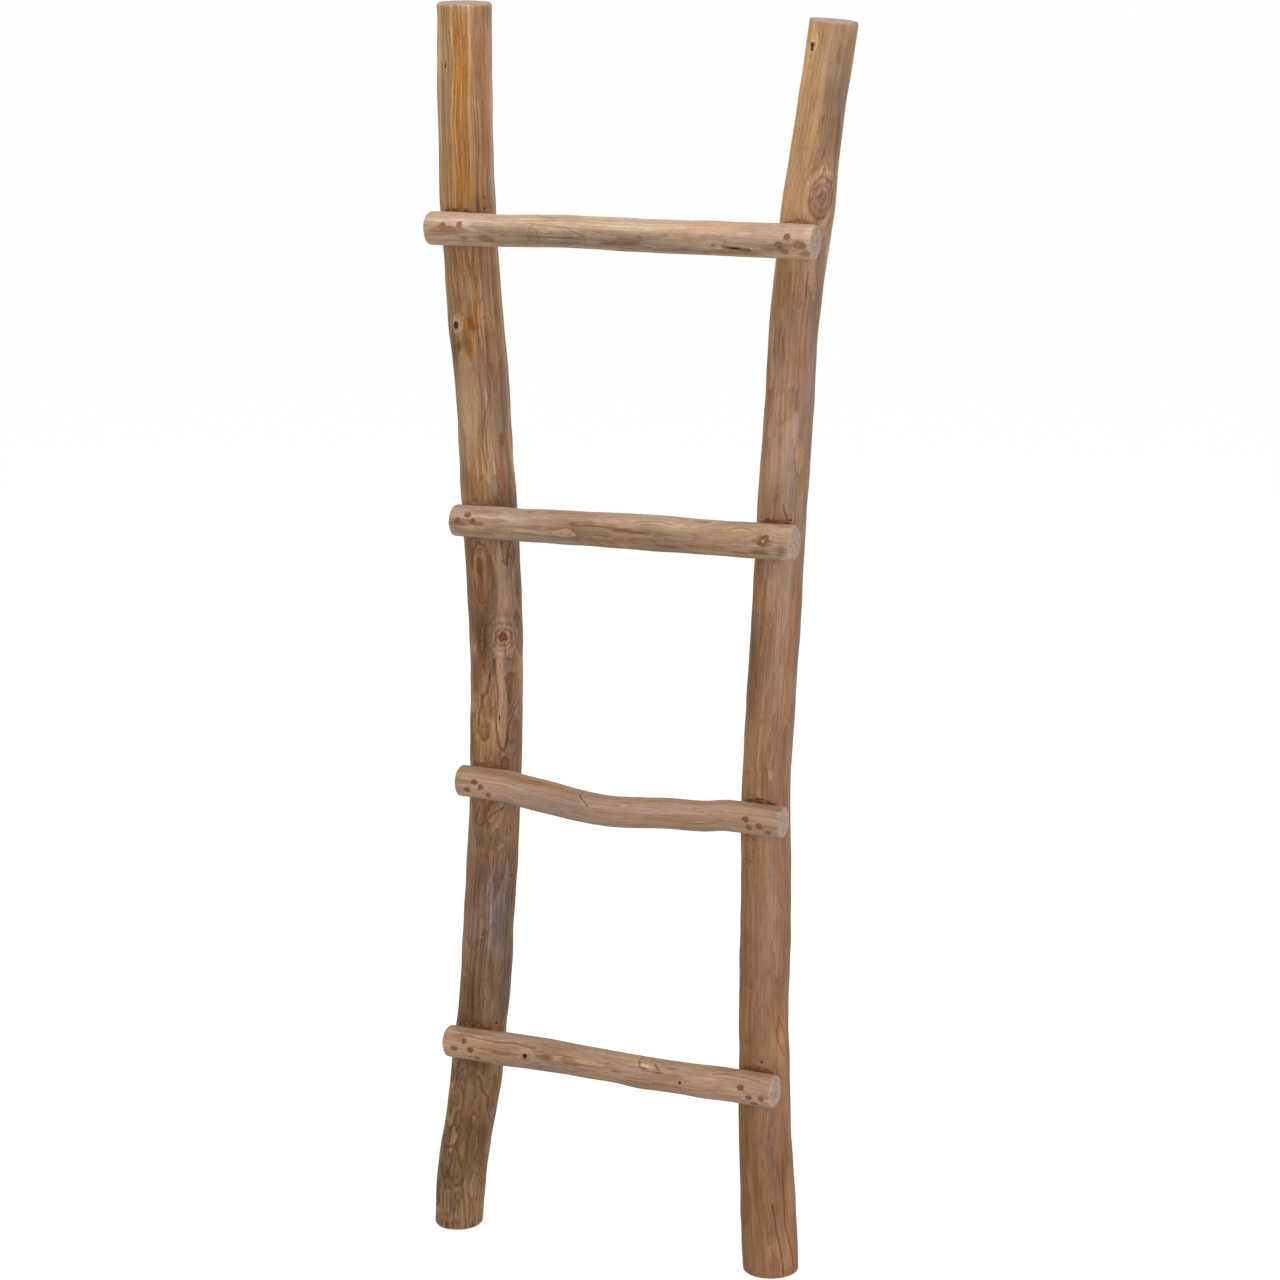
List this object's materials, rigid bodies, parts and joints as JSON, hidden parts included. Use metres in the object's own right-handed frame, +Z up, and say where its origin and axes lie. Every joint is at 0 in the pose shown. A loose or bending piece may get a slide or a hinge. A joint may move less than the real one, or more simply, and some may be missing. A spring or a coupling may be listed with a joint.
{
  "type": "towel ladder",
  "caption": "Freestanding leaning ladder of peeled branches: bent poles carry rungs seated in saddles, screwed and plugged, for hanging towels.",
  "frame": {"origin": "on the floor, in the middle of the ladder's width and depth", "axes": "+Z up the poles, -Y to the front where the rungs lie, +X to the right seen from the front"},
  "size_m": [0.5324, 0.1046, 1.5051],
  "materials": {
    "left_pole_wood": "sanded bare teak, brown grain darker towards the foot",
    "right_pole_wood": "sanded bare teak, tan and pinkish brown grain",
    "rung_wood": "sanded bare teak, light tan",
    "plug_filler": "matt brown wood filler",
    "joint_filler": "matt brown wood filler",
    "screw_steel": "zinc plated"
  },
  "bodies": {
    "root": {"left_pole": "left_pole_wood", "right_pole": "right_pole_wood", "rung_1": "rung_wood", "rung_2": "rung_wood", "rung_3": "rung_wood", "rung_4": "rung_wood", "screws_1_left": "screw_steel", "screws_1_right": "screw_steel", "screws_2_left": "screw_steel", "screws_2_right": "screw_steel", "screws_3_left": "screw_steel", "screws_3_right": "screw_steel", "screws_4_left": "screw_steel", "screws_4_right": "screw_steel", "plugs_1_left": "plug_filler", "plugs_1_right": "plug_filler", "plugs_2_left": "plug_filler", "plugs_2_right": "plug_filler", "plugs_3_left": "plug_filler", "plugs_3_right": "plug_filler", "plugs_4_left": "plug_filler", "plugs_4_right": "plug_filler", "joint_filler_1_left": "joint_filler", "joint_filler_1_right": "joint_filler", "joint_filler_2_left": "joint_filler", "joint_filler_2_right": "joint_filler", "joint_filler_3_left": "joint_filler", "joint_filler_3_right": "joint_filler", "joint_filler_4_left": "joint_filler", "joint_filler_4_right": "joint_filler"}
  },
  "joints": []
}
